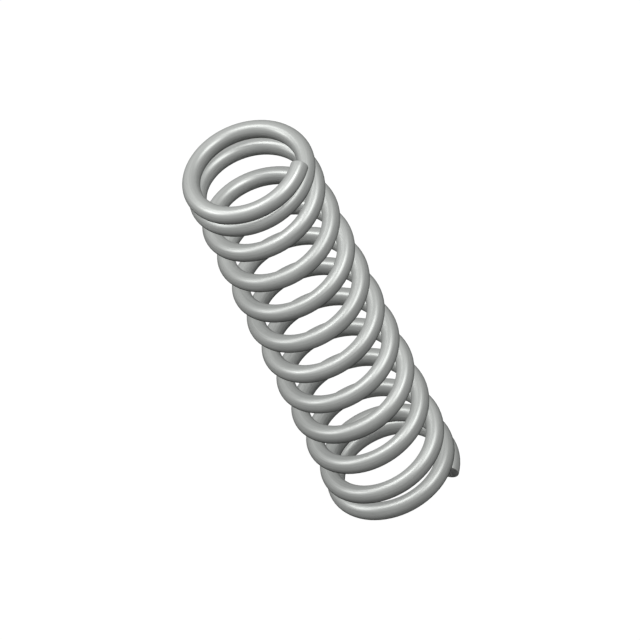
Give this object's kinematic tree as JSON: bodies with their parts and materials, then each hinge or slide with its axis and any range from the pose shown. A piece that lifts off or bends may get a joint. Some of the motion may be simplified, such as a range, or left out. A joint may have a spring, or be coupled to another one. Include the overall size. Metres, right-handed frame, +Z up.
{
  "type": "compression spring",
  "caption": "Small compression spring of round wire, wound right-handed, with closed unground ends and an open centre that slides over a guide rod.",
  "frame": {"origin": "on the coil's axis, at the level of the lowest point of the lower end turn", "axes": "+Z up along the coil's axis. +X towards both cut ends of the wire, which lie one above the other"},
  "size_m": [0.012, 0.012, 0.045],
  "materials": {
    "spring_wire": "satin drawn spring steel wire"
  },
  "bodies": {
    "root": {"compression_spring": "spring_wire"}
  },
  "joints": []
}
